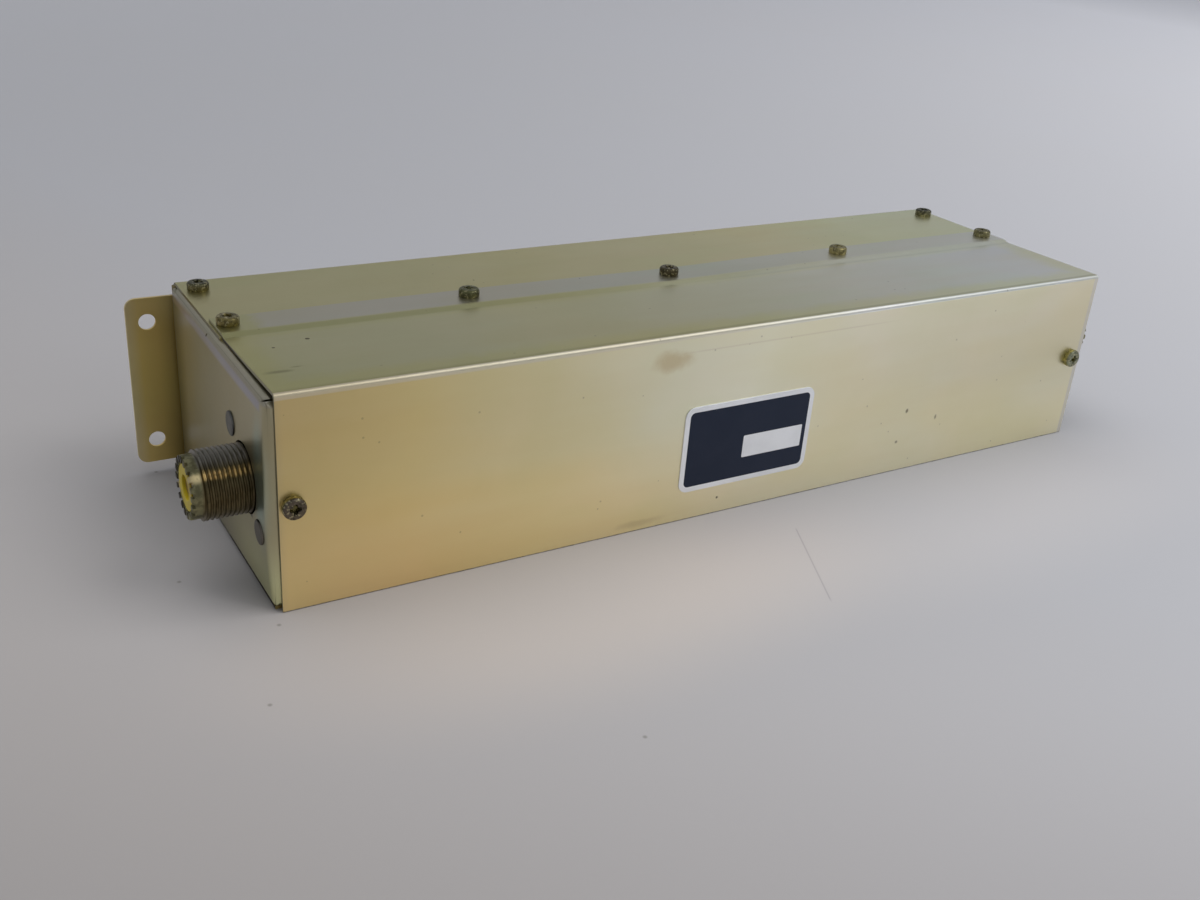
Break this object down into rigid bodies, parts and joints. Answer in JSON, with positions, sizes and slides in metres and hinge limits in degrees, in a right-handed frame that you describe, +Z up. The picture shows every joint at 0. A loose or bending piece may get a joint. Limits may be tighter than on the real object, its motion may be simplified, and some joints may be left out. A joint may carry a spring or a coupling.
{
  "type": "low pass filter",
  "caption": "Long folded sheet filter box with a threaded coaxial socket on each end, mounting ears on its rear wall, a screwed cover, and coils and capacitors in partitioned cells",
  "frame": {"origin": "Centre of the underside, midway between the end plates' outer faces and midway between the cover's front face and the rear wall's outer face", "axes": "+X along the box from the left socket to the right one, +Y from the front face to the rear wall, +Z up from the underside to the top"},
  "size_m": [0.2822, 0.0811, 0.0542],
  "materials": {
    "chromated_sheet": "yellow chromate, satin, with scuffs and specks",
    "chromated_plate": "darker yellow chromate, satin",
    "plated_screw": "olive yellow zinc",
    "plated_barrel": "plated brass, semi-bright, tarnished",
    "insulator": "moulded, matte, yellow",
    "contact": "tarnished brass",
    "rivet": "plain, dull",
    "label": "dark blue print on a silver plate, satin",
    "silvered_wire": "silver-plated, satin",
    "bushing_ceramic": "unglazed, off-white",
    "capacitor_ceramic": "brown glaze"
  },
  "bodies": {
    "root": {"chassis": "chromated_sheet", "cover": "chromated_sheet", "end_plate_left": "chromated_plate", "end_plate_right": "chromated_plate", "partition_left": "chromated_plate", "partition_middle": "chromated_plate", "partition_right": "chromated_plate", "seam_screws": "plated_screw", "rear_screws": "plated_screw", "front_screws": "plated_screw", "label_plate": "label", "socket_shell_left": "plated_barrel", "socket_insulator_left": "insulator", "socket_contact_left": "contact", "socket_rivets_left": "rivet", "socket_shell_right": "plated_barrel", "socket_insulator_right": "insulator", "socket_contact_right": "contact", "socket_rivets_right": "rivet", "coil_input": "silvered_wire", "coil_second": "silvered_wire", "coil_third": "silvered_wire", "coil_output": "silvered_wire", "feed_bushings_left": "bushing_ceramic", "feed_stud_left": "contact", "feed_nuts_left": "plated_screw", "feed_bushings_middle": "bushing_ceramic", "feed_stud_middle": "contact", "feed_nuts_middle": "plated_screw", "feed_bushings_right": "bushing_ceramic", "feed_stud_right": "contact", "feed_nuts_right": "plated_screw", "capacitor_left": "capacitor_ceramic", "capacitor_strap_left": "silvered_wire", "capacitor_screws_left": "plated_screw", "capacitor_middle": "capacitor_ceramic", "capacitor_strap_middle": "silvered_wire", "capacitor_screws_middle": "plated_screw", "capacitor_right": "capacitor_ceramic", "capacitor_strap_right": "silvered_wire", "capacitor_screws_right": "plated_screw"}
  },
  "joints": []
}
